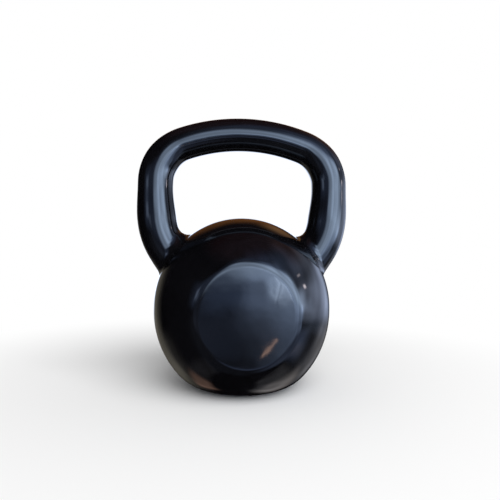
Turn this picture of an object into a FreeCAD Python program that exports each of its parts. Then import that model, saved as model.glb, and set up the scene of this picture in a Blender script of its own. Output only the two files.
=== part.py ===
import FreeCAD, Part
import math
import os

import Sketcher

# A one-piece cast kettlebell, dipped in vinyl all over, with a plug in its base.
#
# The casting is a ball with a flat base, a flat face front and back, and a looped handle
# whose two horns run into the ball. A vinyl coat of even thickness covers it. While it is
# dipped the bell hangs from an eye screwed into its base, and a push-in plug closes that
# hole afterwards. The origin is the centre of the base, +Z is up, -Y is the front and all
# lengths are millimetres.

# Sizes of the bare casting, unless the name says coat, gap or plug. Angles are in degrees.
SIZES = {
    "coat_thickness": 1.8,
    # ball: a corner and a flank arc below the equator, then a straight belt and a dome
    "ball_radius": 78.2,
    "belt_height": 2.4,
    "flank_radius": 84.2,
    "flank_angle": 41.0,
    "corner_radius": 34.6,
    # flat faces, front and back
    "face_distance": 67.4,
    "face_edge_radius": 9.5,
    # handle: four tangent arcs down each side of its middle, then straight into the ball
    "hand_gap": 64.0,
    "crown_radius": 161.6,
    "crown_angle": 20.3,
    "shoulder_radius": 39.2,
    "shoulder_angle": 68.3,
    "post_radius": 217.0,
    "post_angle": 10.0,
    "bend_radius": 64.5,
    "bend_angle": 25.0,
    # radii of the handle's bar, which thickens towards the horns
    "grip_bar": 13.4,
    "post_bar": 14.3,
    "horn_bar": 16.0,
    "horn_fillet": 11.3,
    # hole in the base that the bell hangs from while it is coated
    "hole_radius": 6.0,
    "hole_depth": 24.0,
    "hole_chamfer": 1.0,
    "drill_angle": 31.0,
    "coat_hole_radius": 10.0,
    # plug that closes the hole
    "plug_gap": 0.25,
    "plug_recess": 0.4,
    "plug_stem": 4.6,
    "plug_length": 14.0,
    "plug_taper": 2.0,
    "plug_edge": 0.5,
    "rib_gap": 0.05,
    "rib_height": 2.0,
    "rib_pitch": 3.5,
    "rib_count": 3,
}

# Heights above the base: the equator follows from the arcs below it, the rest from the equator
EQUATOR = (
    "(Sizes.flank_radius - Sizes.corner_radius) * sin(Sizes.flank_angle)"
    " + Sizes.corner_radius + Sizes.coat_thickness"
)
DOME_CENTRE = f"{EQUATOR} + Sizes.belt_height"
HANDLE_TOP = (
    f"{DOME_CENTRE} + Sizes.ball_radius + Sizes.hand_gap"
    " + Sizes.grip_bar + 2 * Sizes.coat_thickness"
)
HOLE_TIP = "Sizes.hole_radius * tan(Sizes.drill_angle)"
BARE = "0"
COATED = "Sizes.coat_thickness"
NODES = ["iron_casting", "vinyl_coat", "base_plug"]


def make_sheet(doc):
    """Fill the sheet with one named cell for each driving size."""
    sheet = doc.addObject("Spreadsheet::Sheet", "Sizes")
    for row, (name, value) in enumerate(SIZES.items(), start=1):
        sheet.set(f"A{row}", name)
        sheet.set(f"B{row}", str(value))
        sheet.setAlias(f"B{row}", name)
    doc.recompute()


def value_of(expression):
    """What an expression of the sheet's sizes comes to, as a plain number."""
    return float(FreeCAD.ActiveDocument.Sizes.evalExpression(expression))


def new_body(doc, label):
    body = doc.addObject("PartDesign::Body", label)
    body.Label = label
    return body


def origin_plane(body, role):
    return next(f for f in body.Origin.OriginFeatures if f.Role == role)


def new_sketch(body, name, role, offset=None):
    """A sketch on one of the body's own origin planes, moved along its normal by offset."""
    sketch = body.newObject("Sketcher::SketchObject", f"{body.Label}_{name}")
    sketch.AttachmentSupport = (origin_plane(body, role), [""])
    sketch.MapMode = "FlatFace"
    if offset:
        sketch.setExpression("AttachmentOffset.Base.z", offset)
    return sketch


def new_feature(body, kind, name):
    return body.newObject(f"PartDesign::{kind}", f"{body.Label}_{name}")


def point(x, y):
    return FreeCAD.Vector(x, y, 0)


def arc(centre, radius, first, last):
    """An arc from the angle first anticlockwise to the angle last, both in radians."""
    circle = Part.Circle(centre, FreeCAD.Vector(0, 0, 1), radius)
    return Part.ArcOfCircle(circle, first, last)


def add_polygon(sketch, corners):
    """Draw a closed outline of straight lines and return the number of each line."""
    ends = corners[1:] + corners[:1]
    lines = [
        sketch.addGeometry(Part.LineSegment(first, last), False)
        for first, last in zip(corners, ends)
    ]
    for line, following in zip(lines, lines[1:] + lines[:1]):
        relate(sketch, ("Coincident", line, 2, following, 1))
    return lines


def add_circle(sketch, centre, radius):
    """Draw a circle whose radius follows an expression."""
    size = value_of(radius)
    circle = sketch.addGeometry(Part.Circle(centre, FreeCAD.Vector(0, 0, 1), size), False)
    bind(sketch, f"circle{circle}", radius, "Radius", circle, size)
    return circle


def bind(sketch, name, expression, *constraint):
    """Add a named constraint that follows an expression."""
    index = sketch.addConstraint(Sketcher.Constraint(*constraint))
    sketch.renameConstraint(index, name)
    sketch.setExpression(f"Constraints.{name}", expression)


def relate(sketch, *constraints):
    for constraint in constraints:
        sketch.addConstraint(Sketcher.Constraint(*constraint))


def edge_names(shape, wanted):
    """Names of the shape's edges for which wanted(faces that meet there) holds."""
    names = []
    for number, edge in enumerate(shape.Edges, start=1):
        faces = [f for f in shape.Faces if any(edge.isSame(e) for e in f.Edges)]
        if wanted(faces):
            names.append(f"Edge{number}")
    return names


def add_ball(body, skin):
    """Turn the ball's profile, grown by skin, about the vertical axis."""
    sketch = new_sketch(body, "BallProfile", "YZ_Plane")
    dome = value_of(f"Sizes.ball_radius + {skin}")
    flank = value_of(f"Sizes.flank_radius + {skin}")
    corner = value_of(f"Sizes.corner_radius + {skin}")
    turn = math.radians(SIZES["flank_angle"])
    equator = value_of(EQUATOR)
    dome_centre = value_of(DOME_CENTRE)
    flank_centre = point(dome - flank, equator)
    corner_centre = flank_centre + point(math.cos(turn), -math.sin(turn)) * (flank - corner)
    base = corner_centre.y - corner
    base_line, corner_arc, flank_arc, belt, dome_arc, axis = sketch.addGeometry(
        [
            Part.LineSegment(point(0, base), point(corner_centre.x, base)),
            arc(corner_centre, corner, -math.pi / 2, -turn),
            arc(flank_centre, flank, -turn, 0),
            Part.LineSegment(point(dome, equator), point(dome, dome_centre)),
            arc(point(0, dome_centre), dome, 0, math.pi / 2),
            Part.LineSegment(point(0, dome_centre + dome), point(0, base)),
        ],
        False,
    )
    relate(
        sketch,
        ("Horizontal", base_line),
        ("Tangent", base_line, 2, corner_arc, 1),
        ("Tangent", corner_arc, 2, flank_arc, 1),
        ("Tangent", flank_arc, 2, belt, 1),
        ("Vertical", belt),
        ("Tangent", belt, 2, dome_arc, 1),
        ("Coincident", dome_arc, 2, axis, 1),
        ("Coincident", axis, 2, base_line, 1),
        ("PointOnObject", dome_arc, 3, -2),
        ("PointOnObject", axis, 1, -2),
        ("PointOnObject", axis, 2, -2),
    )
    bind(sketch, "dome", f"Sizes.ball_radius + {skin}", "Radius", dome_arc, dome)
    bind(sketch, "flank", f"Sizes.flank_radius + {skin}", "Radius", flank_arc, flank)
    bind(sketch, "corner", f"Sizes.corner_radius + {skin}", "Radius", corner_arc, corner)
    bind(sketch, "turn", "Sizes.flank_angle", "Angle", flank_arc, turn)
    bind(sketch, "belt", "Sizes.belt_height", "Distance", belt, dome_centre - equator)
    bind(sketch, "equator", EQUATOR, "DistanceY", -1, 1, flank_arc, 3, equator)
    ball = new_feature(body, "Revolution", "Ball")
    ball.Profile = sketch
    ball.ReferenceAxis = (sketch, ["V_Axis"])
    ball.Angle = 360.0
    body.Document.recompute()


def handle_spine(body):
    """Centre line of half the handle, from its middle down into the ball.

    The bar turns through the crown, the shoulder, the post and the bend, and then runs
    straight to the point where it passes nearest to the centre of the ball's dome.
    """
    sketch = new_sketch(body, "Spine", "XZ_Plane")
    top = value_of(HANDLE_TOP)
    dome_centre = value_of(DOME_CENTRE)
    place, heading = point(0, top), 0.0
    arcs = []
    for name in ("crown", "shoulder", "post", "bend"):
        radius, angle = SIZES[f"{name}_radius"], math.radians(SIZES[f"{name}_angle"])
        centre = place - point(math.sin(heading), math.cos(heading)) * radius
        upper = math.pi / 2 - heading
        number = sketch.addGeometry(arc(centre, radius, upper - angle, upper), False)
        bind(sketch, f"{name}_radius", f"Sizes.{name}_radius", "Radius", number, radius)
        bind(sketch, f"{name}_angle", f"Sizes.{name}_angle", "Angle", number, angle)
        if arcs:
            relate(sketch, ("Tangent", arcs[-1], 1, number, 2))
        arcs.append(number)
        heading += angle
        place = centre + point(math.sin(heading), math.cos(heading)) * radius
    along = point(math.cos(heading), -math.sin(heading))
    nearest = place + along * (point(0, dome_centre) - place).dot(along)
    root = sketch.addGeometry(Part.LineSegment(place, nearest), False)
    inward = sketch.addGeometry(Part.LineSegment(point(0, dome_centre), nearest), True)
    relate(
        sketch,
        ("Tangent", arcs[-1], 1, root, 1),
        ("PointOnObject", arcs[0], 2, -2),
        ("PointOnObject", arcs[0], 3, -2),
        ("Coincident", root, 2, inward, 2),
        ("Perpendicular", root, inward),
        ("PointOnObject", inward, 1, -2),
    )
    bind(sketch, "top", HANDLE_TOP, "DistanceY", -1, 1, arcs[0], 2, top)
    bind(sketch, "centre", DOME_CENTRE, "DistanceY", -1, 1, inward, 1, dome_centre)
    body.Document.recompute()
    return sketch


def add_bar_section(body, name, support, place, radius):
    """A circle square to the centre line, at a share of the length of one of its edges."""
    sketch = body.newObject("Sketcher::SketchObject", f"{body.Label}_{name}")
    sketch.AttachmentSupport = [support]
    sketch.MapMode = "NormalToEdge"
    sketch.MapPathParameter = place
    circle = add_circle(sketch, point(0, 0), radius)
    relate(sketch, ("Coincident", circle, 3, -1, 1))
    return sketch


def add_bar(body, skin, spine, name, path, places):
    """Sweep a round bar along some edges of the centre line.

    Each place is the edge, the share of its length from the lower end, and the size that
    the bar has there. One place alone gives a bar of one thickness.
    """
    sections = [
        add_bar_section(body, f"{name}Bar{number}", (spine, edge), share, f"Sizes.{bar} + {skin}")
        for number, (edge, share, bar) in enumerate(places, start=1)
    ]
    bar = new_feature(body, "AdditivePipe", name)
    bar.Profile = sections[0]
    bar.Spine = (spine, path)
    if sections[1:]:
        bar.Transformation = "Multisection"
        bar.Sections = [(section, [""]) for section in sections[1:]]
    body.Document.recompute()
    return bar


def mirror(body, name, originals, role):
    """Repeat features on the other side of one of the body's origin planes."""
    feature = new_feature(body, "Mirrored", name)
    feature.Originals = originals
    feature.MirrorPlane = (origin_plane(body, role), [""])
    body.Tip = feature
    body.Document.recompute()
    return feature


def fillet(body, name, base, wanted, radius):
    """Round the edges of base where wanted(faces that meet there) holds."""
    feature = new_feature(body, "Fillet", name)
    feature.Base = (base, edge_names(base.Shape, wanted))
    feature.setExpression("Radius", radius)
    body.Tip = feature
    body.Document.recompute()


def add_handle(body, skin):
    """Run both horns into the ball, round their roots and join them by the looped bar.

    The crown and the horns keep one thickness each. Between them the bar swells, and the
    doubled sections near both ends of the swell let it meet its neighbours smoothly.
    """
    spine = handle_spine(body)
    edges = sorted(enumerate(spine.Shape.Edges, start=1), key=lambda e: -e[1].CenterOfMass.z)
    crown, shoulder, post, bend, root = [f"Edge{number}" for number, _ in edges]
    horn = add_bar(body, skin, spine, "Horn", [bend, root], [(post, 0.0, "horn_bar")])
    horns = mirror(body, "Horns", [horn], "YZ_Plane")
    fillet(body, "HornRoots", horns, where_horn_meets_ball, f"Sizes.horn_fillet - {skin}")
    grip = add_bar(body, skin, spine, "Crown", [crown], [(crown, 0.0, "grip_bar")])
    swell_places = [
        (shoulder, 1.0, "grip_bar"),
        (shoulder, 0.85, "grip_bar"),
        (shoulder, 0.4, "post_bar"),
        (shoulder, 0.0, "post_bar"),
        (post, 0.15, "horn_bar"),
        (post, 0.0, "horn_bar"),
    ]
    swell = add_bar(body, skin, spine, "Swell", [shoulder, post], swell_places)
    mirror(body, "Handle", [grip, swell], "YZ_Plane")


def where_horn_meets_ball(faces):
    """True for an edge between a horn's round bar and one of the ball's curved faces."""
    bars = [f for f in faces if is_bar(f)]
    ball = [f for f in faces if not is_bar(f) and not isinstance(f.Surface, Part.Plane)]
    return bool(bars and ball)


def is_bar(face):
    """The ball's cylinders and rings stand on the vertical axis, and the bar's do not."""
    round_kinds = (Part.Cylinder, Part.Toroid)
    return isinstance(face.Surface, round_kinds) and abs(face.Surface.Axis.z) < 0.99


def where_flat_face_ends(faces):
    """True for an edge of a flat that looks forwards or backwards."""
    flats = [f for f in faces if isinstance(f.Surface, Part.Plane)]
    return any(abs(f.normalAt(0, 0).y) > 0.9 for f in flats)


def add_faces(body, skin):
    """Cut the flat face on the front, mirror it to the back and round both rims."""
    sketch = new_sketch(body, "FaceCut", "XZ_Plane", f"Sizes.face_distance + {skin}")
    equator = value_of(EQUATOR)
    circle = add_circle(sketch, point(0, equator), f"Sizes.ball_radius + {skin}")
    relate(sketch, ("PointOnObject", circle, 3, -2))
    bind(sketch, "equator", EQUATOR, "DistanceY", -1, 1, circle, 3, equator)
    front = new_feature(body, "Pocket", "FrontFace")
    front.Profile = sketch
    front.Type = "ThroughAll"
    front.Reversed = True
    body.Document.recompute()
    faces = mirror(body, "Faces", [front], "XZ_Plane")
    fillet(body, "FaceRims", faces, where_flat_face_ends, f"Sizes.face_edge_radius + {skin}")


def bell_form(doc, label, skin):
    """The bell's outer form, with every surface moved out by skin."""
    body = new_body(doc, label)
    add_ball(body, skin)
    add_handle(body, skin)
    add_faces(body, skin)
    return body


def drill_hanger_hole(body):
    """Drill the blind hole for the hanging eye up into the casting's base."""
    sketch = new_sketch(body, "HoleProfile", "XZ_Plane")
    radius, chamfer = SIZES["hole_radius"], SIZES["hole_chamfer"]
    base, depth = SIZES["coat_thickness"], SIZES["hole_depth"]
    tip = value_of(HOLE_TIP)
    corners = [
        point(0, base),
        point(radius + chamfer, base),
        point(radius, base + chamfer),
        point(radius, base + depth),
        point(0, base + depth + tip),
    ]
    mouth, bevel, wall, cone, axis = add_polygon(sketch, corners)
    relate(
        sketch,
        ("Horizontal", mouth),
        ("Vertical", wall),
        ("PointOnObject", axis, 1, -2),
        ("PointOnObject", axis, 2, -2),
    )
    bind(sketch, "base", "Sizes.coat_thickness", "DistanceY", -1, 1, mouth, 1, base)
    bind(sketch, "radius", "Sizes.hole_radius", "DistanceX", axis, 1, cone, 1, radius)
    bind(sketch, "depth", "Sizes.hole_depth", "DistanceY", mouth, 1, cone, 1, depth)
    bind(sketch, "tip", HOLE_TIP, "DistanceY", cone, 1, axis, 1, tip)
    bind(sketch, "chamfer_width", "Sizes.hole_chamfer", "DistanceX", bevel, 2, bevel, 1, chamfer)
    bind(sketch, "chamfer_height", "Sizes.hole_chamfer", "DistanceY", bevel, 1, bevel, 2, chamfer)
    hole = new_feature(body, "Groove", "HangerHole")
    hole.Profile = sketch
    hole.ReferenceAxis = (sketch, ["V_Axis"])
    hole.Angle = 360.0
    body.Document.recompute()


def open_coat_hole(body):
    """Clear the coated form round the hanger hole, from the base past the hole's end."""
    sketch = new_sketch(body, "CoatHole", "XY_Plane")
    circle = add_circle(sketch, point(0, 0), "Sizes.coat_hole_radius")
    relate(sketch, ("Coincident", circle, 3, -1, 1))
    hole = new_feature(body, "Pocket", "CoatHole")
    hole.Profile = sketch
    hole.Reversed = True
    hole.setExpression("Length", "Sizes.coat_thickness + Sizes.hole_depth + Sizes.hole_radius")
    body.Document.recompute()


def make_coat(doc, casting):
    """The vinyl skin: the coated form less the casting inside it."""
    form = bell_form(doc, "CoatedForm", COATED)
    open_coat_hole(form)
    coat = doc.addObject("Part::Cut", "vinyl_coat")
    coat.Label = "vinyl_coat"
    coat.Base = form
    coat.Tool = casting
    doc.recompute()
    return coat


def make_plug(doc):
    """Push-in plug: a flat head in the coat's hole and a ribbed stem in the casting's."""
    body = new_body(doc, "base_plug")
    sketch = new_sketch(body, "PlugProfile", "XZ_Plane")
    head = value_of("Sizes.coat_hole_radius - Sizes.plug_gap")
    stem, taper = SIZES["plug_stem"], SIZES["plug_taper"]
    seat, low = SIZES["coat_thickness"], SIZES["plug_recess"]
    top = seat + SIZES["plug_length"]
    corners = [
        point(0, low),
        point(head, low),
        point(head, seat),
        point(stem, seat),
        point(stem, top - taper),
        point(stem - taper, top),
        point(0, top),
    ]
    under, rim, collar, side, nose, end, axis = add_polygon(sketch, corners)
    relate(
        sketch,
        ("Horizontal", under),
        ("Vertical", rim),
        ("Horizontal", collar),
        ("Vertical", side),
        ("Horizontal", end),
        ("PointOnObject", axis, 1, -2),
        ("PointOnObject", axis, 2, -2),
    )
    bind(sketch, "recess", "Sizes.plug_recess", "DistanceY", -1, 1, under, 1, low)
    bind(sketch, "head", "Sizes.coat_hole_radius - Sizes.plug_gap", "Distance", under, head)
    bind(sketch, "seat", "Sizes.coat_thickness", "DistanceY", -1, 1, collar, 1, seat)
    bind(sketch, "stem", "Sizes.plug_stem", "DistanceX", axis, 1, side, 2, stem)
    bind(sketch, "length", "Sizes.plug_length", "DistanceY", collar, 2, nose, 2, top - seat)
    bind(sketch, "nose_width", "Sizes.plug_taper", "DistanceX", nose, 2, nose, 1, taper)
    bind(sketch, "nose_height", "Sizes.plug_taper", "DistanceY", nose, 1, nose, 2, taper)
    plug = new_feature(body, "Revolution", "Plug")
    plug.Profile = sketch
    plug.ReferenceAxis = (sketch, ["V_Axis"])
    plug.Angle = 360.0
    doc.recompute()
    fillet(body, "HeadRim", plug, where_head_looks_down, "Sizes.plug_edge")
    add_ribs(body)


def where_head_looks_down(faces):
    """True for an edge between the plug's lower face and its upright rim."""
    under = [f for f in faces if isinstance(f.Surface, Part.Plane) and f.normalAt(0, 0).z < -0.9]
    rims = [f for f in faces if isinstance(f.Surface, Part.Cylinder)]
    return bool(rims) and any(f.CenterOfMass.z < rims[0].CenterOfMass.z for f in under)


def add_ribs(body):
    """Barbed rings up the stem, each just clear of the hole's wall."""
    sketch = new_sketch(body, "RibProfile", "XZ_Plane")
    inner = SIZES["plug_stem"]
    outer = value_of("Sizes.hole_radius - Sizes.rib_gap")
    low = value_of("Sizes.coat_thickness + Sizes.rib_pitch")
    height = SIZES["rib_height"]
    corners = [point(0, low), point(outer, low), point(inner, low + height), point(0, low + height)]
    shelf, barb, end, axis = add_polygon(sketch, corners)
    relate(
        sketch,
        ("Horizontal", shelf),
        ("Horizontal", end),
        ("PointOnObject", axis, 1, -2),
        ("PointOnObject", axis, 2, -2),
    )
    bind(sketch, "low", "Sizes.coat_thickness + Sizes.rib_pitch", "DistanceY", -1, 1, shelf, 1, low)
    bind(sketch, "outer", "Sizes.hole_radius - Sizes.rib_gap", "Distance", shelf, outer)
    bind(sketch, "inner", "Sizes.plug_stem", "Distance", end, inner)
    bind(sketch, "height", "Sizes.rib_height", "DistanceY", barb, 1, barb, 2, height)
    rib = new_feature(body, "Revolution", "Rib")
    rib.Profile = sketch
    rib.ReferenceAxis = (sketch, ["V_Axis"])
    rib.Angle = 360.0
    body.Document.recompute()
    ribs = new_feature(body, "LinearPattern", "Ribs")
    ribs.Originals = [rib]
    ribs.Direction = (sketch, ["V_Axis"])
    ribs.setExpression("Occurrences", "Sizes.rib_count")
    ribs.setExpression("Length", "Sizes.rib_pitch * (Sizes.rib_count - 1)")
    body.Tip = ribs
    body.Document.recompute()


def check(doc):
    """Stop if any object failed or any piece has no sound shape."""
    failed = [o.Name for o in doc.Objects if {"Invalid", "Error"} & set(o.State)]
    if failed:
        raise RuntimeError(f"failed objects: {failed}")
    for node in NODES:
        shape = piece(doc, node).Shape
        if shape.isNull() or not shape.isValid() or shape.Volume <= 0:
            raise RuntimeError(f"{node} has no sound shape")


def piece(doc, node):
    return doc.getObjectsByLabel(node)[0]


def main():
    doc = FreeCAD.newDocument("kettlebell")
    make_sheet(doc)
    casting = bell_form(doc, "iron_casting", BARE)
    drill_hanger_hole(casting)
    make_coat(doc, casting)
    make_plug(doc)
    doc.recompute()
    check(doc)
    os.makedirs("parts", exist_ok=True)
    for node in NODES:
        shape = piece(doc, node).Shape
        shape.exportStep(f"parts/{node}.step")
        print(f"{node}: {len(shape.Solids)} solid, {shape.Volume / 1000:.1f} cm3")


main()
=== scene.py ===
import logging
import math
from dataclasses import dataclass, field
from enum import Enum

import bpy
import numpy as np
from mathutils import Matrix, Vector


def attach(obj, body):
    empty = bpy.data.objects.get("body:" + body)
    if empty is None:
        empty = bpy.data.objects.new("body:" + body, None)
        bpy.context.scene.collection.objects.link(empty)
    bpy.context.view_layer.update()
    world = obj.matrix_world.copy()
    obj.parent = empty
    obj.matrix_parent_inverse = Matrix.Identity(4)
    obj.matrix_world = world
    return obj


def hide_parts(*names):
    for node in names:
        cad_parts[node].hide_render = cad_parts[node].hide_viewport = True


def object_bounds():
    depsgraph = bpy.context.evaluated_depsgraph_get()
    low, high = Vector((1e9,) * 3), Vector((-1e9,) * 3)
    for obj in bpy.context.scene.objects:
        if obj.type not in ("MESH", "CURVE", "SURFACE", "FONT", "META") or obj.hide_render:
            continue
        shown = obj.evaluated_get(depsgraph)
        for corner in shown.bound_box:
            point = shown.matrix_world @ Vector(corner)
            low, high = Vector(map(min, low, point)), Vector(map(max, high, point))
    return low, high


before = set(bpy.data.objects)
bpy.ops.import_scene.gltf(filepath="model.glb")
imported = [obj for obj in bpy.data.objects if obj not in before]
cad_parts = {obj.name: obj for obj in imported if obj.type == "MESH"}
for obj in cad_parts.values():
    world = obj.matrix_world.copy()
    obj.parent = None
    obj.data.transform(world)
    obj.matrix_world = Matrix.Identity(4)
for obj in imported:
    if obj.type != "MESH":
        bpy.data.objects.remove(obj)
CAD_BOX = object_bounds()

# A cast kettlebell dipped all over in black vinyl, standing on a pale floor.
#
# The origin is the centre of the base, +Z is up and -Y is the front. Sizes of the
# pieces are millimetres, and the meshes and the studio are metres.

MM = 0.001
LOG = logging.getLogger("kettlebell")


class Steps(Enum):
    """How finely the ball's profile is drawn: steps on its corner, flank, belt and dome."""

    HIDDEN = (5, 7, 1, 12)
    SEEN = (22, 44, 2, 78)
    MEASURED = (400, 600, 4, 900)


# ---------------------------------------------------------------- meshes


@dataclass
class Skin:
    """A surface of points on a grid, closed round its columns and at both of its ends.

    The first and the last row each run together into one point at their middle.
    """

    points: np.ndarray

    def faces(self) -> tuple[np.ndarray, np.ndarray]:
        """Number the corners of every face.

        Returns:
            The quads between neighbouring rows, and the triangles that close both ends.
        """
        rows, columns = self.points.shape[:2]
        here = np.arange(columns)
        after = np.roll(here, -1)
        start = (np.arange(rows - 1) * columns)[:, None]
        quads = np.stack(
            [start + here, start + after, start + columns + after, start + columns + here], axis=-1
        ).reshape(-1, 4)
        last = (rows - 1) * columns
        first_pole, last_pole = rows * columns, rows * columns + 1
        lower = np.stack([after, here, np.full(columns, first_pole)], axis=-1)
        upper = np.stack([last + here, last + after, np.full(columns, last_pole)], axis=-1)
        return quads, np.concatenate([lower, upper])

    def corners(self) -> np.ndarray:
        """All the points as one list, with the two middle points at its end."""
        ends = np.stack([self.points[0].mean(axis=0), self.points[-1].mean(axis=0)])
        return np.concatenate([self.points.reshape(-1, 3), ends])


def add_object(name: str, data: bpy.types.ID) -> bpy.types.Object:
    """Put a new object into the scene, at the origin.

    Args:
        name: The object's name.
        data: Its mesh, lamp or camera.

    Returns:
        The object.
    """
    added = bpy.data.objects.new(name, data)
    bpy.context.scene.collection.objects.link(added)
    return added


def add_mesh(name: str, points: np.ndarray, faces: list[list[int]]) -> bpy.types.Object:
    """Put a new mesh object into the scene, at the origin.

    Args:
        name: The object's name.
        points: Its corners in metres.
        faces: For each face, the numbers of its corners, anticlockwise from outside.

    Returns:
        The object.
    """
    mesh = bpy.data.meshes.new(name)
    mesh.from_pydata(points.reshape(-1, 3).tolist(), [], faces)
    mesh.update()
    return add_object(name, mesh)


def add_skins(name: str, skins: list[Skin]) -> bpy.types.Object:
    """Join closed surfaces into one smooth mesh object.

    Args:
        name: The object's name.
        skins: Surfaces in millimetres, whose faces point outwards.

    Returns:
        The object, in metres.
    """
    corners, quads, triangles, count = [], [], [], 0
    for skin in skins:
        four, three = skin.faces()
        corners.append(skin.corners() * MM)
        quads.append(four + count)
        triangles.append(three + count)
        count += len(corners[-1])
    faces = np.concatenate(quads).tolist() + np.concatenate(triangles).tolist()
    piece = add_mesh(name, np.concatenate(corners), faces)
    piece.data.polygons.foreach_set("use_smooth", np.ones(len(faces), dtype=bool))
    return piece


def arc(centre: tuple[float, float], radius: float, angles: np.ndarray | float) -> np.ndarray:
    """Points at a radius from a centre, at angles in degrees from the first axis."""
    turn = np.radians(angles)
    return np.stack([centre[0] + radius * np.cos(turn), centre[1] + radius * np.sin(turn)], axis=-1)


def ease(value: np.ndarray, start: float, stop: float) -> np.ndarray:
    """Rise from 0 at start to 1 at stop, level at both ends: 3 t squared less 2 t cubed."""
    share = np.clip((value - start) / (stop - start), 0.0, 1.0)
    return share * share * (3.0 - 2.0 * share)


def unit(vectors: np.ndarray) -> np.ndarray:
    """Vectors of the same directions and of length 1."""
    return vectors / np.linalg.norm(vectors, axis=-1, keepdims=True)


# ---------------------------------------------------------------- materials


def linear(colour: str) -> tuple[float, float, float, float]:
    """Turn an sRGB hex colour into linear light.

    Args:
        colour: Six hex digits after a hash.

    Returns:
        Red, green, blue and an alpha of 1.
    """
    coded = np.array([int(colour[place:place + 2], 16) for place in (1, 3, 5)]) / 255.0
    light = np.where(coded <= 0.04045, coded / 12.92, ((coded + 0.055) / 1.055) ** 2.4)
    return (*light.tolist(), 1.0)


def per_metre(size: float) -> float:
    """Scale of a pattern that repeats at about this many millimetres."""
    return 1.0 / (size * MM)


def in_order(*values: object) -> dict[int, object]:
    """Number values for a node's first sockets."""
    return dict(enumerate(values))


def add_node(
    tree: bpy.types.NodeTree, kind: str, sockets: dict[str | int, object], **settings: object
) -> bpy.types.Node:
    """Add a node with its settings and links.

    Args:
        tree: The node tree that gets it.
        kind: The node's type name without "ShaderNode".
        sockets: For each input, by name or number, a value or the output that feeds it.
        settings: The node's own settings.

    Returns:
        The new node.
    """
    node = tree.nodes.new(f"ShaderNode{kind}")
    for name, value in settings.items():
        setattr(node, name, value)
    for name, value in sockets.items():
        if isinstance(value, bpy.types.NodeSocket):
            tree.links.new(value, node.inputs[name])
        else:
            node.inputs[name].default_value = value
    return node


def new_material(name: str) -> tuple[bpy.types.Material, bpy.types.NodeTree]:
    """Make a material with no nodes in it yet.

    Args:
        name: The material's name.

    Returns:
        The material and its node tree.
    """
    material = bpy.data.materials.new(name)
    material.use_nodes = True
    material.node_tree.nodes.clear()
    return material, material.node_tree


def put_on(piece: bpy.types.Object, material: bpy.types.Material) -> None:
    """Give every material slot of a piece the one material.

    Args:
        piece: The piece.
        material: Its finish.
    """
    if not piece.material_slots:
        piece.data.materials.append(material)
    for slot in piece.material_slots:
        slot.link = "DATA"
        slot.material = material


@dataclass(frozen=True)
class Relief:
    """One layer of unevenness, as a noise."""

    # how far apart its bumps are and how high, in millimetres
    size: float
    height: float
    # how many finer octaves the noise has, and how strong they are
    detail: float
    roughness: float


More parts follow.
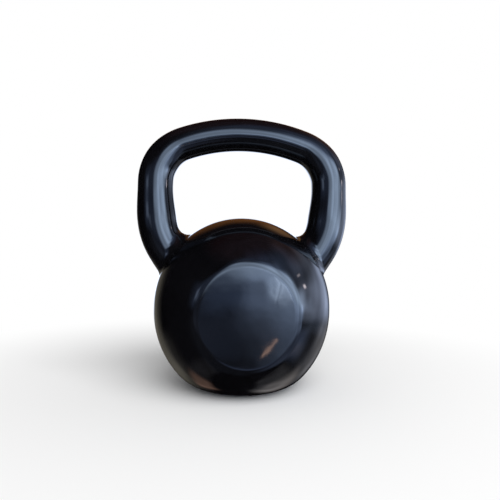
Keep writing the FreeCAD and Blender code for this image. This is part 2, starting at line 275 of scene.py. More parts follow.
@dataclass(frozen=True)
class DippedVinyl:
    """Black plastisol vinyl, which flows out and cures to a wet-looking skin.

    The dip leaves slow waves from its flow, eddies between them and a fine orange peel,
    so reflections keep their shape and lose their straight edges. Handling leaves a thin
    uneven haze, and standing on the floor scuffs the ring round the base.
    """

    name: str = "dipped_pvc_plastisol"
    colour: str = "#060608"
    dusty: str = "#0B0B0E"
    scuffed: str = "#2B2C2F"
    ior: float = 1.53
    # roughness where the skin is clean, hazy and scuffed
    clean: float = 0.03
    hazy: float = 0.085
    rubbed: float = 0.45
    # waves, eddies and orange peel
    reliefs: tuple[Relief, ...] = (
        Relief(21.0, 0.15, 1.0, 0.4),
        Relief(8.5, 0.024, 1.0, 0.4),
        Relief(3.2, 0.002, 1.5, 0.5),
    )
    # sizes of the patches of haze and of the scuffs, how high the scuffs reach, and the
    # span of each noise over which they come in
    haze_size: float = 38.0
    haze_span: tuple[float, float] = (0.42, 0.72)
    scuff_size: float = 3.846
    scuff_span: tuple[float, float] = (0.48, 0.62)
    scuff_reach: float = 1.6

    def build(self) -> bpy.types.Material:
        """Build the material's nodes.

        Returns:
            The material.
        """
        material, tree = new_material(self.name)
        place = add_node(tree, "TexCoord", {}).outputs["Object"]
        cloud = add_node(
            tree, "TexNoise",
            {"Vector": place, "Scale": per_metre(self.haze_size), "Detail": 5.0, "Roughness": 0.6},
        )
        haze = add_node(tree, "MapRange", in_order(cloud.outputs[0], *self.haze_span, 0.0, 1.0))
        scuffs = add_node(
            tree, "TexNoise",
            {"Vector": place, "Scale": per_metre(self.scuff_size), "Detail": 4.0, "Roughness": 0.7},
        )
        marks = add_node(tree, "MapRange", in_order(scuffs.outputs[0], *self.scuff_span, 0.0, 1.0))
        height = add_node(tree, "SeparateXYZ", {0: place}).outputs["Z"]
        low = add_node(tree, "MapRange", in_order(height, self.scuff_reach * MM, 0.0, 0.0, 1.0))
        scuff = add_node(
            tree, "Math", in_order(low.outputs[0], marks.outputs[0]), operation="MULTIPLY"
        ).outputs[0]
        dust = add_node(
            tree, "Mix", {0: haze.outputs[0], 6: linear(self.colour), 7: linear(self.dusty)},
            data_type="RGBA",
        )
        colour = add_node(
            tree, "Mix", {0: scuff, 6: dust.outputs[2], 7: linear(self.scuffed)}, data_type="RGBA"
        )
        sheen = add_node(
            tree, "MapRange", in_order(haze.outputs[0], 0.0, 1.0, self.clean, self.hazy)
        )
        roughness = add_node(
            tree, "Mix", {0: scuff, 2: sheen.outputs[0], 3: self.rubbed}, data_type="FLOAT"
        )
        normal = {}
        for relief in self.reliefs:
            bumps = add_node(
                tree, "TexNoise",
                {
                    "Vector": place, "Scale": per_metre(relief.size), "Detail": relief.detail,
                    "Roughness": relief.roughness,
                },
            )
            bumped = add_node(
                tree, "Bump",
                {"Height": bumps.outputs[0], "Distance": relief.height * MM, "Strength": 1.0, **normal},
            )
            normal = {"Normal": bumped.outputs[0]}
        shader = add_node(
            tree, "BsdfPrincipled",
            {
                "Base Color": colour.outputs[2], "Roughness": roughness.outputs[0],
                "IOR": self.ior, **normal,
            },
        )
        add_node(tree, "OutputMaterial", {0: shader.outputs[0]})
        return material


@dataclass(frozen=True)
class SandCastIron:
    """Grey iron as it leaves a sand mould: dark, dull and grained like the sand.

    The grain is drawn about three times too coarse, so that it shows.
    """

    name: str = "sand_cast_grey_iron"
    colour: str = "#5B5A58"
    rusty: str = "#4A3A31"
    grain_size: float = 0.9
    grain_height: float = 0.05
    grain_span: tuple[float, float] = (0.3, 0.7)
    roughness: tuple[float, float] = (0.5, 0.7)
    # patches of rust, the span of their noise over which they come in, and their most
    rust_size: float = 14.0
    rust_span: tuple[float, float] = (0.45, 0.65)
    rust_most: float = 0.7

    def build(self) -> bpy.types.Material:
        """Build the material's nodes.

        Returns:
            The material.
        """
        material, tree = new_material(self.name)
        place = add_node(tree, "TexCoord", {}).outputs["Object"]
        grain = add_node(
            tree, "TexNoise", {"Vector": place, "Scale": per_metre(self.grain_size), "Detail": 3.0}
        )
        patches = add_node(
            tree, "TexNoise", {"Vector": place, "Scale": per_metre(self.rust_size), "Detail": 4.0}
        )
        rust = add_node(
            tree, "MapRange", in_order(patches.outputs[0], *self.rust_span, 0.0, self.rust_most)
        )
        colour = add_node(
            tree, "Mix", {0: rust.outputs[0], 6: linear(self.colour), 7: linear(self.rusty)},
            data_type="RGBA",
        )
        roughness = add_node(
            tree, "MapRange", in_order(grain.outputs[0], *self.grain_span, *self.roughness)
        )
        bump = add_node(
            tree, "Bump",
            {"Height": grain.outputs[0], "Distance": self.grain_height * MM, "Strength": 1.0},
        )
        shader = add_node(
            tree, "BsdfPrincipled",
            {
                "Base Color": colour.outputs[2], "Metallic": 1.0,
                "Roughness": roughness.outputs[0], "Normal": bump.outputs[0],
            },
        )
        add_node(tree, "OutputMaterial", {0: shader.outputs[0]})
        return material


@dataclass(frozen=True)
class MouldedPolyethylene:
    """Black low-density polyethylene, moulded against a spark-eroded tool: even and satin.

    The texture from the tool is drawn four times too coarse, so that it shows.
    """

    name: str = "moulded_ldpe"
    colour: str = "#121314"
    worn: str = "#26272A"
    ior: float = 1.51
    texture_size: float = 0.5
    texture_height: float = 0.015
    # patches of wear, and the span of their noise over which they pale it and dull it
    wear_size: float = 5.556
    pale_span: tuple[float, float] = (0.5, 0.7)
    dull_span: tuple[float, float] = (0.3, 0.7)
    roughness: tuple[float, float] = (0.42, 0.55)

    def build(self) -> bpy.types.Material:
        """Build the material's nodes.

        Returns:
            The material.
        """
        material, tree = new_material(self.name)
        place = add_node(tree, "TexCoord", {}).outputs["Object"]
        texture = add_node(
            tree, "TexVoronoi", {"Vector": place, "Scale": per_metre(self.texture_size)}
        )
        wear = add_node(
            tree, "TexNoise", {"Vector": place, "Scale": per_metre(self.wear_size), "Detail": 4.0}
        )
        pale = add_node(tree, "MapRange", in_order(wear.outputs[0], *self.pale_span, 0.0, 1.0))
        colour = add_node(
            tree, "Mix", {0: pale.outputs[0], 6: linear(self.colour), 7: linear(self.worn)},
            data_type="RGBA",
        )
        roughness = add_node(
            tree, "MapRange", in_order(wear.outputs[0], *self.dull_span, *self.roughness)
        )
        bump = add_node(
            tree, "Bump",
            {"Height": texture.outputs[0], "Distance": self.texture_height * MM, "Strength": 1.0},
        )
        shader = add_node(
            tree, "BsdfPrincipled",
            {
                "Base Color": colour.outputs[2], "Roughness": roughness.outputs[0],
                "IOR": self.ior, "Normal": bump.outputs[0],
            },
        )
        add_node(tree, "OutputMaterial", {0: shader.outputs[0]})
        return material


# ---------------------------------------------------------------- the bell


@dataclass(frozen=True)
class Ball:
    """The ball: a turned profile with a flat face pressed into its front and its back."""

    dome_radius: float = 80.0
    # where the profile stops, in degrees above the dome's centre
    dome_top: float = 89.3
    belt_height: float = 2.4
    flank_radius: float = 86.0
    flank_angle: float = 41.0
    corner_radius: float = 36.4
    face_distance: float = 69.2
    face_edge_radius: float = 11.3
    vinyl: float = 1.8
    hole_radius: float = 10.0
    lip_radius: float = 0.5
    columns: int = 384
    ledge_points: int = 3
    lip_points: int = 6
    base_points: int = 9

    @property
    def equator(self) -> float:
        """Height where the flank's arc stands upright."""
        rise = math.sin(math.radians(self.flank_angle))
        return (self.flank_radius - self.corner_radius) * rise + self.corner_radius

    @property
    def dome_centre(self) -> float:
        """Height of the dome's centre."""
        return self.equator + self.belt_height

    @property
    def flank_centre(self) -> tuple[float, float]:
        """Centre of the flank's arc, as a radius and a height."""
        return self.dome_radius - self.flank_radius, self.equator

    @property
    def corner_centre(self) -> np.ndarray:
        """Centre of the corner's arc, as a radius and a height."""
        return arc(self.flank_centre, self.flank_radius - self.corner_radius, -self.flank_angle)

    def outline(self, inset: float, steps: Steps) -> np.ndarray:
        """Follow the profile from the edge of the flat base to just short of the dome's top.

        The corner, the flank and the dome are arcs that touch, with a short upright
        belt between the flank and the dome. An inset shortens every radius alike.

        Args:
            inset: How far inside the outer surface the profile runs.
            steps: How finely it is drawn.

        Returns:
            Radius and height of each point.
        """
        corner, flank, belt, dome = steps.value
        upright = self.dome_radius - inset
        heights = np.linspace(self.equator, self.dome_centre, belt + 1)
        return np.concatenate([
            arc(self.corner_centre, self.corner_radius - inset,
                np.linspace(-90.0, -self.flank_angle, corner + 1)),
            arc(self.flank_centre, self.flank_radius - inset,
                np.linspace(-self.flank_angle, 0.0, flank + 1))[1:],
            np.stack([np.full(belt, upright), heights[1:]], axis=-1),
            arc((0.0, self.dome_centre), upright, np.linspace(0.0, self.dome_top, dome + 1))[1:],
        ])

    def profile(self) -> tuple[np.ndarray, np.ndarray]:
        """Follow the whole section of the vinyl, from its inner top round to its outer top.

        It goes down the side against the iron, across the base to the hole, round the
        hole's lip and back up the outside.

        Returns:
            Radius and height of each point against the iron, and of each point outside.
        """
        base_edge = self.corner_centre[0]
        inner = self.outline(self.vinyl, Steps.HIDDEN)[::-1]
        across = np.linspace(base_edge, self.hole_radius, self.ledge_points)[1:]
        ledge = np.stack([across, np.full_like(across, self.vinyl)], axis=-1)
        wall = np.array([[self.hole_radius, (self.vinyl + self.lip_radius) / 2.0]])
        lip_edge = self.hole_radius + self.lip_radius
        lip = arc((lip_edge, self.lip_radius), self.lip_radius,
                  np.linspace(180.0, 270.0, self.lip_points))
        across = np.linspace(lip_edge, base_edge, self.base_points)[1:-1]
        base = np.stack([across, np.zeros_like(across)], axis=-1)
        outer = self.outline(0.0, Steps.SEEN)
        return np.concatenate([inner, ledge]), np.concatenate([wall, lip, base, outer])

    def rim_rings(self, inset: float) -> tuple[np.ndarray, np.ndarray, np.ndarray]:
        """Find where the flat face ends and where the ball begins, all round a face's rim.

        A ball as large as the rim's rounding rolls round inside the corner between the
        face and the ball's own surface. Its centre stays one rounding inside both, and
        from the centre the face begins straight ahead and the ball one rounding outwards.

        Args:
            inset: How far inside the outer surface the profile runs.

        Returns:
            Angles round the face's middle, and at each the distance from that middle to
            the end of the flat and to the start of the ball.
        """
        rounding = self.face_edge_radius - inset
        depth = self.face_distance - self.face_edge_radius
        path = self.outline(self.face_edge_radius, Steps.MEASURED)
        step = np.gradient(path, axis=0)
        outward = unit(np.stack([step[:, 1], -step[:, 0]], axis=-1))
        beyond = path[:, 0] >= depth
        path, outward = path[beyond], outward[beyond]
        across = np.sqrt(np.maximum(path[:, 0] ** 2 - depth ** 2, 0.0))
        up = path[:, 1] - self.dome_centre
        touch_across = across * (1.0 + rounding * outward[:, 0] / path[:, 0])
        touch_up = up + rounding * outward[:, 1]
        angles = np.arctan2(up, across)
        touch_angles = np.arctan2(touch_up, touch_across)
        touch = np.interp(angles, touch_angles, np.hypot(touch_across, touch_up))
        return angles, np.hypot(across, up), touch

    def press_faces(self, points: np.ndarray, inset: float) -> np.ndarray:
        """Press the flat faces and their rounded rims into a turned surface.

        Each point keeps its place across and up, and comes in to the face's depth within
        the flat, or to the rolling ball's surface between the flat and the ball.

        Args:
            points: The turned surface.
            inset: How far inside the outer surface it lies.

        Returns:
            The same points, pressed in.
        """
        angles, flat, ball = self.rim_rings(inset)
        rounding = self.face_edge_radius - inset
        across, up = np.abs(points[..., 0]), points[..., 2] - self.dome_centre
        distance, angle = np.hypot(across, up), np.arctan2(up, across)
        past_flat = distance - np.interp(angle, angles, flat)
        rolled = np.sqrt(np.maximum(rounding ** 2 - np.maximum(past_flat, 0.0) ** 2, 0.0))
        limit = self.face_distance - self.face_edge_radius + rolled
        limit = np.where(distance < np.interp(angle, angles, ball), limit, np.inf)
        pressed = points.copy()
        pressed[..., 1] = np.sign(points[..., 1]) * np.minimum(np.abs(points[..., 1]), limit)
        return pressed

    def turn(self, profile: np.ndarray, inset: float) -> np.ndarray:
        """Turn a profile about the vertical axis and press the faces into it.

        Args:
            profile: Radius and height of each point.
            inset: How far inside the outer surface it lies.

        Returns:
            A row of points for each point of the profile.
        """
        angles = np.linspace(0.0, 2.0 * np.pi, self.columns, endpoint=False)
        turned = np.stack([
            profile[:, :1] * np.cos(angles), profile[:, :1] * np.sin(angles),
            np.repeat(profile[:, 1:], self.columns, axis=1),
        ], axis=-1)
        return self.press_faces(turned, inset)

    def build(self) -> Skin:
        """Build the vinyl over the ball, from its inner top round to its outer top."""
        against_iron, outside = self.profile()
        return Skin(np.concatenate([self.turn(against_iron, self.vinyl), self.turn(outside, 0.0)]))


@dataclass(frozen=True)
class Handle:
    """The looped bar: tangent arcs from its middle down each side, and rounded roots."""

    ball: Ball
    hand_gap: float = 64.0
    # radius and angle of the crown's arc, the shoulder's, the post's and the bend's
    bends: tuple[tuple[float, float], ...] = (
        (161.6, 20.3), (39.2, 68.3), (217.0, 10.0), (64.5, 25.0)
    )
    # the straight run from the bend into the ball
    root_length: float = 79.5
    grip_radius: float = 15.19
    post_radius: float = 16.1
    horn_radius: float = 17.8
    root_rounding: float = 9.5
    # where the bar thickens, as shares of the shoulder's length and of the post's
    swell_span: tuple[float, float] = (0.07, 0.62)
    flare_span: tuple[float, float] = (0.125, 0.965)
    columns: int = 80
    rows: int = 230
    root_rows: int = 16
    halvings: int = 44
    # the share of the rounding where a row holds its end sharp
    holding_share: float = 0.985
    # under the dome: the first row's depth, then how far on and how deep each row lies
    tuck: float = 0.01
    skirt: tuple[tuple[float, float], ...] = ((0.8, 0.03), (1.6, 0.1), (2.2, 0.9))
    # inside the ball: each closing ring's size, and how far a ring of no size would sink
    closing_sizes: tuple[float, ...] = (0.66, 0.33)
    sink: tuple[float, float, float] = (-4.0, 0.0, -6.0)

    @property
    def top(self) -> float:
        """Height of the bar's centre line at its middle."""
        return self.ball.dome_centre + self.ball.dome_radius + self.hand_gap + self.grip_radius

    @property
    def dome_middle(self) -> np.ndarray:
        """Centre of the ball's dome."""
        return np.array([0.0, 0.0, self.ball.dome_centre])

    @property
    def lengths(self) -> list[float]:
        """Length of each arc of the centre line."""
        return [radius * math.radians(angle) for radius, angle in self.bends]

    def centre_line(self, along: np.ndarray) -> tuple[np.ndarray, np.ndarray, np.ndarray]:
        """Walk the centre line on one side.

        An arc of radius R that turns the heading from a to b moves R (sin b - sin a)
        across and R (cos b - cos a) up. Each arc adds its own share of the walk, and the
        rest of it is straight.

        Args:
            along: Distances from the middle of the bar.

        Returns:
            Distance across, height, and the heading below the horizontal in radians.
        """
        across = np.zeros_like(along)
        up = np.full_like(along, self.top)
        heading = np.zeros_like(along)
        left = along
        for (radius, _), length in zip(self.bends, self.lengths):
            walked = np.clip(left, 0.0, length)
            turned = heading + walked / radius
            across = across + radius * (np.sin(turned) - np.sin(heading))
            up = up + radius * (np.cos(turned) - np.cos(heading))
            heading, left = turned, left - walked
        return across + left * np.cos(heading), up - left * np.sin(heading), heading

    def bar_radius(self, along: np.ndarray) -> np.ndarray:
        """Find the bar's radius: it swells once round the shoulder and once down the post.

        Each swelling eases in over its own span, from the radius before it to the next.

        Args:
            along: Distances from the middle of the bar.

        Returns:
            The radius at each.
        """
        crown, shoulder, post, _ = self.lengths
        swell = ease(along, *(crown + share * shoulder for share in self.swell_span))
        flare = ease(along, *(crown + shoulder + share * post for share in self.flare_span))
        return (
            self.grip_radius
            + (self.post_radius - self.grip_radius) * swell
            + (self.horn_radius - self.post_radius) * flare
        )

    def offset(self, along: np.ndarray, turn: np.ndarray, reach: np.ndarray | float) -> np.ndarray:
        """Find points at a reach from the centre line, turned round it from its outer side.

        Turned by an angle t, a point lies the reach times cos t to the outer side and the
        reach times sin t to the back.

        Args:
            along: Distances from the middle of the bar.
            turn: Angles round the bar, in radians.
            reach: Distances from the centre line.

        Returns:
            The points.
        """
        across, up, heading = self.centre_line(along)
        out, side = reach * np.cos(turn), reach * np.sin(turn)
        return np.stack([across + out * np.sin(heading), side, up + out * np.cos(heading)], axis=-1)

    def root_starts(self, turn: np.ndarray) -> np.ndarray:
        """Find where the root's rounding leaves the bar, at each angle round it.

        A ball as large as the rounding rolls round the corner outside both surfaces. Its
        centre is one rounding off the bar and one rounding off the dome, and halving
        finds the distance along the bar where both hold.

        Args:
            turn: Angles round the bar, in radians.

        Returns:
            The distances along the bar.
        """
        near = np.full_like(turn, sum(self.lengths[:3]))
        far = np.full_like(turn, sum(self.lengths) + self.root_length)
        for _ in range(self.halvings):
            middle = (near + far) / 2.0
            rolling = self.offset(middle, turn, self.horn_radius + self.root_rounding)
            away = np.linalg.norm(rolling - self.dome_middle, axis=-1)
            clear = away > self.ball.dome_radius + self.root_rounding
            near, far = np.where(clear, middle, near), np.where(clear, far, middle)
        return near

    def root(self, turn: np.ndarray, starts: np.ndarray) -> np.ndarray:
        """Round the corner from the bar to the dome and tuck the end in under the dome.

        The rounding is the rolling ball's arc from the bar to the dome: it turns evenly
        from one contact to the other. Then the surface follows just under the dome, and
        closes inside the ball.

        Args:
            turn: Angles round the bar, in radians.
            starts: Where the rounding leaves the bar.

        Returns:
            Rows of points, from the first one past the bar to the last one inside.
        """
        centre, depth = self.dome_middle, self.ball.dome_radius
        rolling = self.offset(starts, turn, self.horn_radius + self.root_rounding)
        bar = (self.offset(starts, turn, self.horn_radius) - rolling) / self.root_rounding
        dome = unit(centre - rolling)
        sweep = np.arccos(np.clip((bar * dome).sum(axis=-1), -1.0, 1.0))[None, :, None]
        shares = np.linspace(0.0, 1.0, self.root_rows)[1:-1]
        share = np.append(shares, [self.holding_share, 1.0])[:, None, None]
        arcs = (np.sin((1.0 - share) * sweep) * bar + np.sin(share * sweep) * dome) / np.sin(sweep)
        rounded = rolling + arcs * self.root_rounding
        rounded[-1] += (centre - rounded[-1]) * self.tuck / depth
        onward = unit(rounded[-1] - rounded[-2])
        skirt = [
            centre + unit(rounded[-1] + onward * advance - centre) * (depth - sunk)
            for advance, sunk in self.skirt
        ]
        middle = skirt[-1].mean(axis=0)
        closing = [
            middle + (skirt[-1] - middle) * size + np.array(self.sink) * (1.0 - size)
            for size in self.closing_sizes
        ]
        return np.concatenate([rounded, np.stack(skirt + closing)])

    def build(self) -> Skin:
        """Carry the round section along the centre line, from one root over to the other.

        A row stays square to the bar over the grip, and further down it leans so that it
        ends where the rounding starts.

        Returns:
            The surface.
        """
        turn = np.linspace(0.0, 2.0 * np.pi, self.columns, endpoint=False)
        starts = self.root_starts(turn)
        reach = starts.mean()
        walk = np.linspace(0.0, reach, self.rows // 2 + 1)[:, None]
        lean = ease(walk, sum(self.lengths[:2]), reach)
        along = walk + lean * (starts - reach)
        side = self.offset(along, np.broadcast_to(turn, along.shape), self.bar_radius(along))
        right = np.concatenate([side, self.root(turn, starts)])
        left = right[:0:-1] * np.array([-1.0, 1.0, 1.0])
        return Skin(np.concatenate([left, right])[:, ::-1])


@dataclass(frozen=True)
class VinylCoat:
    """The dipped skin, over the ball and the handle in one piece."""

    ball: Ball = field(default_factory=Ball)
    finish: DippedVinyl = field(default_factory=DippedVinyl)

    def build(self) -> bpy.types.Object:
        """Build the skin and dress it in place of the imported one.

        Returns:
            The skin.
        """
        piece = add_skins("coat_skin", [self.ball.build(), Handle(self.ball).build()])
        put_on(piece, self.finish.build())
        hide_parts("vinyl_coat")
        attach(piece, "root")
        return piece


@dataclass(frozen=True)
class PackedPiece:
    """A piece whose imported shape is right, so that it only gets its finish."""

    node: str
    finish: SandCastIron | MouldedPolyethylene

    def build(self) -> bpy.types.Object:
        """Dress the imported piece.

        Returns:
            The piece.
        """
        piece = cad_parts[self.node]
        put_on(piece, self.finish.build())
        return piece


# ---------------------------------------------------------------- the studio


def toward(azimuth: np.ndarray | float, elevation: np.ndarray | float) -> np.ndarray:
    """Find directions: azimuth 0 is the front and 90 the object's right as it is faced.

    Args:
        azimuth: Angles round the bell, in degrees.
        elevation: Angles above the horizontal, in degrees.

    Returns:
        Vectors of length 1.
    """
    turn, rise = np.radians(azimuth), np.radians(elevation)
    level = np.cos(rise)
    return np.stack([np.sin(turn) * level, -np.cos(turn) * level, np.sin(rise)], axis=-1)


@dataclass(frozen=True)
class SoftLamp:
    """A rectangular lamp that faces the bell and doesn't show in its gloss."""

    name: str = "window"
    azimuth: float = 25.0
    elevation: float = 40.0
    distance: float = 1.6
    width: float = 1.6
    height: float = 1.6
    radiance: float = 3.5
    aim_height: float = 0.1

    def build(self) -> bpy.types.Object:
        """Hang the lamp. Its power is pi times its area times its radiance.

        Returns:
            The lamp.
        """
        lamp = bpy.data.lights.new(self.name, "AREA")
        lamp.shape = "RECTANGLE"
        lamp.size, lamp.size_y = self.width, self.height
        lamp.energy = math.pi * self.width * self.height * self.radiance
        hung = add_object(self.name, lamp)
        aim = Vector((0.0, 0.0, self.aim_height))
        hung.location = aim + Vector(toward(self.azimuth, self.elevation)) * self.distance
        hung.rotation_euler = (aim - hung.location).to_track_quat("-Z", "Y").to_euler()
        hung.visible_camera = False
        hung.visible_glossy = False
        return hung


@dataclass(frozen=True)
class ReflectionPanel:
    """A patch of painted reflection on the tent, whose light falls away softly at its sides, bottom and
    top.
    """

    azimuths: tuple[float, float]
    elevations: tuple[float, float]
    radiance: float
    colour: str
    soft: tuple[float, float, float]

    def light(self, azimuth: np.ndarray, elevation: np.ndarray) -> np.ndarray:
        """Work out the patch's light in each direction.

        Along each axis the share is the product of a rise past one edge and a fall past
        the other, each eased over its own soft width.

        Args:
            azimuth: Azimuths in degrees.
            elevation: Elevations in degrees.

        Returns:
            Red, green and blue in each direction.
        """
        middle = sum(self.azimuths) / 2.0
        turned = (azimuth - middle + 180.0) % 360.0 - 180.0
        half = (self.azimuths[1] - self.azimuths[0]) / 2.0
        low, high = self.elevations
        side, bottom, top = self.soft
        share = ease(half + side / 2.0 - np.abs(turned), 0.0, side)
        share = share * ease(elevation, low - bottom / 2.0, low + bottom / 2.0)
        share = share * (1.0 - ease(elevation, high - top / 2.0, high + top / 2.0))
        return share[..., None] * np.array(linear(self.colour)[:3]) * self.radiance


# Painted reflections: what the bell's gloss shows of a room round it, glowing on the tent
ROOM_REFLECTIONS = (
    # the window, its brightest middle, its lower right and its foot
    ReflectionPanel((-8.0, 66.0), (3.0, 35.0), 4.4, "#C4DDFF", (14.0, 8.0, 18.0)),
    ReflectionPanel((14.0, 60.0), (3.0, 34.0), 3.1, "#C4DDFF", (18.0, 8.0, 18.0)),
    ReflectionPanel((62.0, 78.0), (1.0, 17.0), 4.4, "#C6DDFF", (14.0, 8.0, 12.0)),
    ReflectionPanel((11.0, 74.0), (-4.0, 3.0), 5.7, "#BCD6FF", (11.0, 9.0, 8.0)),
    ReflectionPanel((4.0, 20.0), (1.6, 7.0), 2.4, "#BCD6FF", (8.0, 4.0, 6.0)),
    ReflectionPanel((8.4, 14.0), (-1.0, 1.8), 3.2, "#C4DDFF", (2.4, 2.6, 2.0)),
    *(ReflectionPanel((edge, edge + 0.6), (-1.8, 2.2), 4.4, "#D4E6FF", (0.6, 2.4, 2.0))
      for edge in (9.2, 10.4, 11.5, 12.8)),
    # the ground that it looks on, near and far
    ReflectionPanel((9.0, 66.0), (-14.0, -3.4), 2.0, "#B8D2FF", (12.0, 8.0, 9.0)),
    ReflectionPanel((16.0, 88.0), (-41.0, -14.0), 0.70, "#B4CCFF", (24.0, 14.0, 8.0)),
    ReflectionPanel((66.0, 134.0), (-15.0, -5.0), 0.36, "#B4C8EC", (20.0, 9.0, 10.0)),
    ReflectionPanel((84.0, 120.0), (-44.0, -12.0), 0.16, "#C0C8DC", (16.0, 14.0, 10.0)),
    ReflectionPanel((-10.0, 6.0), (-12.0, -1.0), 0.22, "#A4C4FF", (8.0, 4.0, 6.0)),
    ReflectionPanel((-2.0, 14.0), (-20.0, -14.8), 0.75, "#A8C4FF", (10.0, 3.0, 5.0)),
    ReflectionPanel((3.0, 12.0), (-7.5, -1.0), 0.50, "#B8D2FF", (4.0, 5.0, 4.0)),
    ReflectionPanel((4.6, 9.2), (-3.6, 2.4), 1.45, "#B8D2FF", (3.2, 4.0, 2.0)),
    ReflectionPanel((-3.5, 5.0), (-3.0, 3.0), 0.62, "#A4C4FF", (6.0, 4.0, 4.0)),
    ReflectionPanel((60.0, 86.0), (-37.0, -27.0), 0.26, "#C8B09C", (16.0, 8.0, 8.0)),
    # light that it throws on the ceiling and on the wall to its right
    ReflectionPanel((20.0, 58.0), (32.0, 50.0), 1.3, "#B4CEFF", (24.0, 12.0, 12.0)),
    ReflectionPanel((-14.0, 96.0), (28.0, 60.0), 0.45, "#ABC8FF", (34.0, 20.0, 20.0)),
    ReflectionPanel((-80.0, 120.0), (58.0, 91.0), 0.09, "#A898B0", (80.0, 24.0, 1.0)),
    ReflectionPanel((0.0, 62.0), (56.0, 68.0), 0.24, "#A0BCFF", (28.0, 10.0, 24.0)),
    ReflectionPanel((-200.0, 200.0), (62.0, 91.0), 0.035, "#FF7058", (8.0, 20.0, 1.0)),
    ReflectionPanel((84.0, 140.0), (38.0, 64.0), 0.20, "#D09A90", (24.0, 16.0, 14.0)),
    ReflectionPanel((72.0, 92.0), (-2.0, 9.0), 0.9, "#C4DAFF", (12.0, 8.0, 8.0)),
    ReflectionPanel((72.0, 140.0), (-6.0, 21.0), 1.90, "#BFCEEE", (22.0, 10.0, 14.0)),
    ReflectionPanel((72.0, 128.0), (21.0, 42.0), 0.62, "#B6C2DE", (24.0, 14.0, 18.0)),
    # two painted glints of small lamps
    ReflectionPanel((82.0, 86.0), (18.2, 21.4), 7.5, "#FFF0F4", (3.0, 2.4, 2.4)),
    ReflectionPanel((79.5, 85.5), (29.9, 31.8), 2.8, "#FFF0F4", (4.0, 1.6, 1.6)),
    # a painted warm glint, a streak low down in front
    *(ReflectionPanel((edge, edge + 0.5), (edge - 18.4, edge - 18.2), 11.0, "#FFCCAC", (0.5, 0.5, 0.5))
      for edge in (7.3, 7.8, 8.3, 8.8, 9.3)),
    # the painted reflection of a far lamp on the left and of the wall that it lights
    ReflectionPanel((-57.0, -42.0), (9.5, 20.0), 1.3, "#C5DBFF", (7.0, 6.0, 6.0)),
    ReflectionPanel((-44.0, -32.0), (6.0, 13.0), 0.7, "#C5DBFF", (7.0, 5.0, 5.0)),
    ReflectionPanel((-66.0, -5.0), (3.0, 27.0), 0.40, "#A8C6FF", (16.0, 10.0, 14.0)),
    # the dim ground on the left and in front
    ReflectionPanel((-66.0, 8.0), (-64.0, -2.0), 0.09, "#B4C4E4", (20.0, 12.0, 10.0)),
    ReflectionPanel((-46.0, -8.0), (-12.0, 2.0), 0.16, "#B4CCFF", (14.0, 10.0, 8.0)),
    # the room to the right, behind
    ReflectionPanel((112.0, 146.0), (-38.0, -8.0), 0.60, "#C2C2C8", (20.0, 12.0, 10.0)),
    ReflectionPanel((110.0, 156.0), (-68.0, -40.0), 0.85, "#C9C2C0", (24.0, 12.0, 10.0)),
    ReflectionPanel((70.0, 156.0), (-76.0, -48.0), 0.34, "#C2C2C8", (20.0, 8.0, 10.0)),
    ReflectionPanel((142.0, 160.0), (30.0, 50.0), 0.70, "#C09060", (16.0, 14.0, 14.0)),
    ReflectionPanel((158.0, 204.0), (24.0, 48.0), 0.46, "#B5743A", (26.0, 16.0, 16.0)),
    # the room to the left, behind
    ReflectionPanel((-160.0, -130.0), (-44.0, 14.0), 0.50, "#ABA596", (24.0, 24.0, 24.0)),
    ReflectionPanel((-144.0, -110.0), (-46.0, -20.0), 0.26, "#A8A49C", (26.0, 16.0, 16.0)),
    ReflectionPanel((-152.0, -114.0), (-64.0, -48.0), 0.85, "#CDA491", (20.0, 8.0, 10.0)),
    # a pale wall straight behind
    ReflectionPanel((160.0, 203.0), (-4.0, 18.0), 3.0, "#DCE8FF", (14.0, 12.0, 14.0)),
    ReflectionPanel((-112.0, -60.0), (-64.0, -46.0), 0.16, "#B8B8C0", (20.0, 8.0, 10.0)),
)


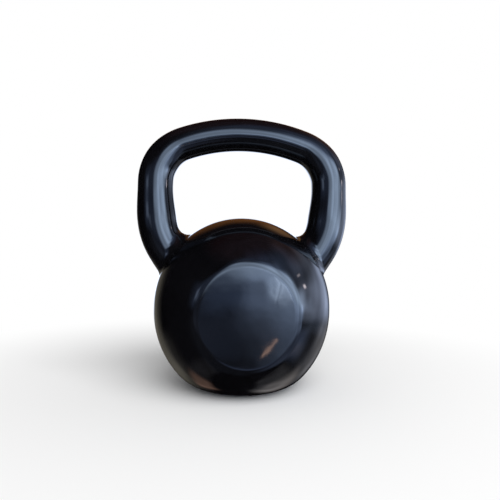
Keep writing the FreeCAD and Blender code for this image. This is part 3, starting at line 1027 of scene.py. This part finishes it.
@dataclass(frozen=True)
class ReflectionTent:
    """A hollow ball that glows with painted reflections, dark with soft bright panels, which only gloss
    can see.
    """

    panels: tuple[ReflectionPanel, ...] = ROOM_REFLECTIONS
    radius: float = 1.2
    # the dark ground of the painted reflections, between the panels
    dark_reflection: str = "#120F12"
    # each wave of the painted ripples in the reflections: its turns in azimuth and in elevation, and
    # its start
    waves: tuple[tuple[float, float, float], ...] = (
        (9.0, 4.0, 35.0), (-3.0, 11.0, 80.0), (23.0, -17.0, 0.0)
    )
    # how deep the painted ripples in the reflections go, broad and fine
    ripple_depth: float = 0.20
    fine_ripple_depth: float = 0.05
    # the elevation of its last rows, just short of its poles
    last_row: float = 89.9
    columns: int = 720
    rows: int = 361

    def ripples(self, azimuth: np.ndarray, elevation: np.ndarray) -> np.ndarray:
        """Ripple the painted reflections' light: two crossed waves and a finer slanted one.

        Args:
            azimuth: Azimuths in degrees.
            elevation: Elevations in degrees.

        Returns:
            The factor by which the light varies in each direction.
        """
        across, up, fine = (
            np.sin(np.radians(turns * azimuth + rises * elevation + start))
            for turns, rises, start in self.waves
        )
        return 1.0 + self.ripple_depth * across * up + self.fine_ripple_depth * fine

    def shades(self, azimuth: np.ndarray, elevation: np.ndarray) -> np.ndarray:
        """Add up the painted reflections: their dark ground and all the panels.

        Args:
            azimuth: Azimuths in degrees.
            elevation: Elevations in degrees.

        Returns:
            Red, green, blue and an alpha of 1 in each direction.
        """
        light = np.broadcast_to(np.array(linear(self.dark_reflection)[:3]), (*azimuth.shape, 3)).copy()
        ripples = self.ripples(azimuth, elevation)[..., None]
        for panel in self.panels:
            light += panel.light(azimuth, elevation) * ripples
        return np.concatenate([light, np.ones((*azimuth.shape, 1))], axis=-1)

    def build(self) -> bpy.types.Object:
        """Stretch the tent over even steps in azimuth and elevation, and give each point its painted
        reflection's glow.

        Returns:
            The tent.
        """
        azimuth, elevation = np.meshgrid(
            np.linspace(-180.0, 180.0, self.columns + 1),
            np.linspace(-self.last_row, self.last_row, self.rows),
        )
        width = self.columns + 1
        corner = (np.arange(self.rows - 1)[:, None] * width + np.arange(self.columns)).reshape(-1)
        faces = np.stack([corner, corner + 1, corner + width + 1, corner + width], axis=-1)
        # a mesh that glows with the painted reflections
        tent = add_mesh("painted_reflection_tent", self.radius * toward(azimuth, elevation), faces.tolist())
        glow = tent.data.attributes.new("glow", "FLOAT_COLOR", "POINT")
        shades = self.shades(azimuth, elevation).astype(np.float32)
        glow.data.foreach_set("color", shades.reshape(-1))
        # an emission that paints the reflections, seen only in gloss
        material, tree = new_material("painted_reflection_glow")
        colour = add_node(tree, "Attribute", {}, attribute_name="glow").outputs["Color"]
        reflection_glow = add_node(tree, "Emission", {"Color": colour, "Strength": 1.0})
        add_node(tree, "OutputMaterial", {0: reflection_glow.outputs[0]})
        put_on(tent, material)
        tent.visible_camera = False
        tent.visible_diffuse = False
        tent.visible_shadow = False
        tent.visible_transmission = False
        return tent


@dataclass(frozen=True)
class Floor:
    """A board painted matt off-white: it keeps the bell's shadow and fades into the white."""

    colour: str = "#F4F4F4"
    half_width: float = 30.0
    fade: tuple[float, float] = (0.10, 0.42)

    def build(self, level: float) -> bpy.types.Object:
        """Lay the floor.

        Args:
            level: The height of its top.

        Returns:
            The floor.
        """
        edges = np.array([-1.0, 1.0]) * self.half_width
        across, along = np.meshgrid(edges, edges)
        points = np.stack([across, along, np.full_like(across, level)], axis=-1)
        floor = add_mesh("floor", points, [[0, 1, 3, 2]])
        material, tree = new_material("painted_board")
        place = add_node(tree, "TexCoord", {}).outputs["Object"]
        distance = add_node(tree, "VectorMath", {0: place}, operation="LENGTH").outputs["Value"]
        far = add_node(
            tree, "MapRange", in_order(distance, *self.fade, 0.0, 1.0),
            interpolation_type="SMOOTHSTEP",
        )
        seen = add_node(tree, "LightPath", {}).outputs["Is Camera Ray"]
        share = add_node(tree, "Math", in_order(far.outputs[0], seen), operation="MULTIPLY")
        paint = add_node(tree, "BsdfDiffuse", {"Color": linear(self.colour)})
        white = add_node(tree, "Emission", {"Strength": 1.0})
        blend = add_node(
            tree, "MixShader", in_order(share.outputs[0], paint.outputs[0], white.outputs[0])
        )
        add_node(tree, "OutputMaterial", {0: blend.outputs[0]})
        put_on(floor, material)
        floor.visible_glossy = False
        return floor


@dataclass(frozen=True)
class Surround:
    """The white surround, which lights the bell less than it shows."""

    fill: float = 0.46

    def build(self) -> None:
        """Make it white to the eye, in gloss and through glass, and dim as a light."""
        world = bpy.data.worlds.new("white_surround")
        bpy.context.scene.world = world
        world.use_nodes = True
        tree = world.node_tree
        tree.nodes.clear()
        path = add_node(tree, "LightPath", {}).outputs
        gloss = add_node(
            tree, "Math", in_order(path["Is Camera Ray"], path["Is Glossy Ray"]), operation="ADD"
        )
        seen = add_node(
            tree, "Math", in_order(gloss.outputs[0], path["Is Transmission Ray"]),
            operation="ADD", use_clamp=True,
        )
        strength = add_node(tree, "MapRange", in_order(seen.outputs[0], 0.0, 1.0, self.fill, 1.0))
        shader = add_node(
            tree, "Background", {"Color": linear("#FFFFFF"), "Strength": strength.outputs[0]}
        )
        add_node(tree, "OutputWorld", {0: shader.outputs[0]})


@dataclass(frozen=True)
class Camera:
    """A short lens close to the bell, a little to its left."""

    place: tuple[float, float, float] = (-0.02586, -0.37329, 0.11629)
    aim_height: float = 0.13126
    lens: float = 28.728
    sensor: float = 36.0
    shift: tuple[float, float] = (0.01497, -0.0200)
    roll: float = 0.8388
    nearest: float = 0.02

    def build(self) -> bpy.types.Object:
        """Set the camera up and make it the scene's own.

        Returns:
            The camera.
        """
        camera = add_object("camera", bpy.data.cameras.new("camera"))
        camera.data.lens = self.lens
        camera.data.sensor_width = self.sensor
        camera.data.shift_x, camera.data.shift_y = self.shift
        camera.data.clip_start = self.nearest
        place = Vector(self.place)
        heading = (Vector((0.0, 0.0, self.aim_height)) - place).to_track_quat("-Z", "Y")
        turn = Matrix.Rotation(math.radians(self.roll), 4, "Z")
        camera.matrix_world = Matrix.Translation(place) @ heading.to_matrix().to_4x4() @ turn
        bpy.context.scene.camera = camera
        return camera


@dataclass(frozen=True)
class Studio:
    """Floor, surround, lamp, tent of painted reflections and camera."""

    # how far the floor lies under the base, in millimetres
    floor_gap: float = 0.05
    floor: Floor = field(default_factory=Floor)
    surround: Surround = field(default_factory=Surround)
    lamp: SoftLamp = field(default_factory=SoftLamp)
    tent: ReflectionTent = field(default_factory=ReflectionTent)
    camera: Camera = field(default_factory=Camera)

    def build(self, base: float) -> None:
        """Put everything round the bell.

        Args:
            base: The height of the bell's base.
        """
        self.floor.build(base - self.floor_gap * MM)
        for part in (self.surround, self.lamp, self.tent, self.camera):
            part.build()
        bpy.context.scene.view_settings.view_transform = "Standard"


def main() -> None:
    """Build the bell's pieces in order, report each one, and set the studio up."""
    logging.basicConfig(level=logging.INFO, format="%(name)s: %(message)s")
    pieces = (
        PackedPiece("iron_casting", SandCastIron()),
        PackedPiece("base_plug", MouldedPolyethylene()),
        VinylCoat(),
    )
    for part in pieces:
        piece = part.build()
        LOG.info("%s: %d faces, %s", piece.name, len(piece.data.polygons),
                 piece.data.materials[0].name)
    Studio().build(CAD_BOX[0].z)


if __name__ == "__main__":
    main()
